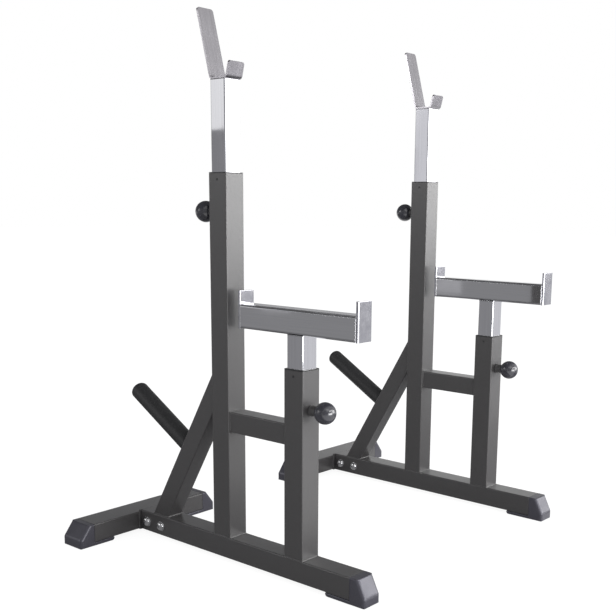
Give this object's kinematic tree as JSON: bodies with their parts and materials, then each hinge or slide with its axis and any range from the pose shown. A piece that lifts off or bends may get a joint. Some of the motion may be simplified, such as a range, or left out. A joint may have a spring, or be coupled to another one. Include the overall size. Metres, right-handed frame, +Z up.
{
  "type": "squat rack",
  "caption": "Pair of free-standing squat stands with height-adjustable bar hooks and safety beams on telescopic posts, locked by spring-loaded pull pins.",
  "frame": {"origin": "on the floor, in the middle of the bounding box of the pair", "axes": "+Z up, +X from the left stand to the right stand, -Y towards the lifter and the safety beams, +Y towards the cross rails and the plate pegs"},
  "size_m": [1.311, 0.8878, 1.3696],
  "materials": {
    "frame_paint": "satin anthracite powder coat",
    "textured_paint": "fine textured black powder coat",
    "chrome": "polished chrome plate",
    "satin_steel": "satin grey plate",
    "zinc": "bright zinc plate",
    "rubber": "moulded, satin",
    "plastic": "moulded, matt black",
    "gloss_plastic": "polished black"
  },
  "bodies": {
    "left_frame": {"left_base_rail": "frame_paint", "left_cross_rail": "frame_paint", "left_joint_spigot": "frame_paint", "left_joint_bolt_front": "zinc", "left_joint_bolt_rear": "zinc", "left_front_foot_cap": "rubber", "left_rear_foot_cap_left": "rubber", "left_rear_foot_cap_right": "rubber", "left_link_tube": "frame_paint", "left_brace_tube": "frame_paint", "left_plate_peg": "textured_paint", "left_upright_tube": "frame_paint", "left_upright_bush": "plastic", "left_bar_pin_collar": "frame_paint", "left_bar_pin_spring": "zinc", "left_safety_tube": "frame_paint", "left_safety_bush": "plastic", "left_safety_pin_collar": "frame_paint", "left_safety_pin_spring": "zinc"},
    "left_bar_slider": {"left_bar_post": "chrome", "left_bar_hook": "satin_steel"},
    "left_safety_slider": {"left_safety_post": "chrome", "left_safety_beam": "satin_steel", "left_beam_front_plate": "satin_steel", "left_beam_rear_plate": "satin_steel"},
    "left_bar_plunger": {"left_bar_pull_pin": "zinc", "left_bar_pin_knob": "gloss_plastic"},
    "left_safety_plunger": {"left_safety_pull_pin": "zinc", "left_safety_pin_knob": "gloss_plastic"},
    "right_frame": {"right_base_rail": "frame_paint", "right_cross_rail": "frame_paint", "right_joint_spigot": "frame_paint", "right_joint_bolt_front": "zinc", "right_joint_bolt_rear": "zinc", "right_front_foot_cap": "rubber", "right_rear_foot_cap_left": "rubber", "right_rear_foot_cap_right": "rubber", "right_link_tube": "frame_paint", "right_brace_tube": "frame_paint", "right_plate_peg": "textured_paint", "right_upright_tube": "frame_paint", "right_upright_bush": "plastic", "right_bar_pin_collar": "frame_paint", "right_bar_pin_spring": "zinc", "right_safety_tube": "frame_paint", "right_safety_bush": "plastic", "right_safety_pin_collar": "frame_paint", "right_safety_pin_spring": "zinc"},
    "right_bar_slider": {"right_bar_post": "chrome", "right_bar_hook": "satin_steel"},
    "right_safety_slider": {"right_safety_post": "chrome", "right_safety_beam": "satin_steel", "right_beam_front_plate": "satin_steel", "right_beam_rear_plate": "satin_steel"},
    "right_bar_plunger": {"right_bar_pull_pin": "zinc", "right_bar_pin_knob": "gloss_plastic"},
    "right_safety_plunger": {"right_safety_pull_pin": "zinc", "right_safety_pin_knob": "gloss_plastic"}
  },
  "joints": [
    {"name": "stand_spacing", "type": "slide", "parent": "left_frame", "child": "right_frame", "axis": [1, 0, 0], "range_m": [-0.25, 0.35]},
    {"name": "left_bar_height", "type": "slide", "parent": "left_frame", "child": "left_bar_slider", "axis": [0, 0, 1], "range_m": [-0.2, 0.4]},
    {"name": "left_safety_height", "type": "slide", "parent": "left_frame", "child": "left_safety_slider", "axis": [0, 0, 1], "range_m": [-0.05, 0.25]},
    {"name": "left_bar_pin_pull", "type": "slide", "parent": "left_frame", "child": "left_bar_plunger", "axis": [0, 1, 0], "range_m": [0, 0.008], "stiffness_N_per_m": 400, "springref_m": -0.015, "deforming": ["left_bar_pin_spring"]},
    {"name": "left_safety_pin_pull", "type": "slide", "parent": "left_frame", "child": "left_safety_plunger", "axis": [0, -1, 0], "range_m": [0, 0.008], "stiffness_N_per_m": 400, "springref_m": -0.015, "deforming": ["left_safety_pin_spring"]},
    {"name": "right_bar_height", "type": "slide", "parent": "right_frame", "child": "right_bar_slider", "axis": [0, 0, 1], "range_m": [-0.2, 0.4]},
    {"name": "right_safety_height", "type": "slide", "parent": "right_frame", "child": "right_safety_slider", "axis": [0, 0, 1], "range_m": [-0.075, 0.225]},
    {"name": "right_bar_pin_pull", "type": "slide", "parent": "right_frame", "child": "right_bar_plunger", "axis": [0, 1, 0], "range_m": [0, 0.008], "stiffness_N_per_m": 400, "springref_m": -0.015, "deforming": ["right_bar_pin_spring"]},
    {"name": "right_safety_pin_pull", "type": "slide", "parent": "right_frame", "child": "right_safety_plunger", "axis": [0, -1, 0], "range_m": [0, 0.008], "stiffness_N_per_m": 400, "springref_m": -0.015, "deforming": ["right_safety_pin_spring"]}
  ]
}
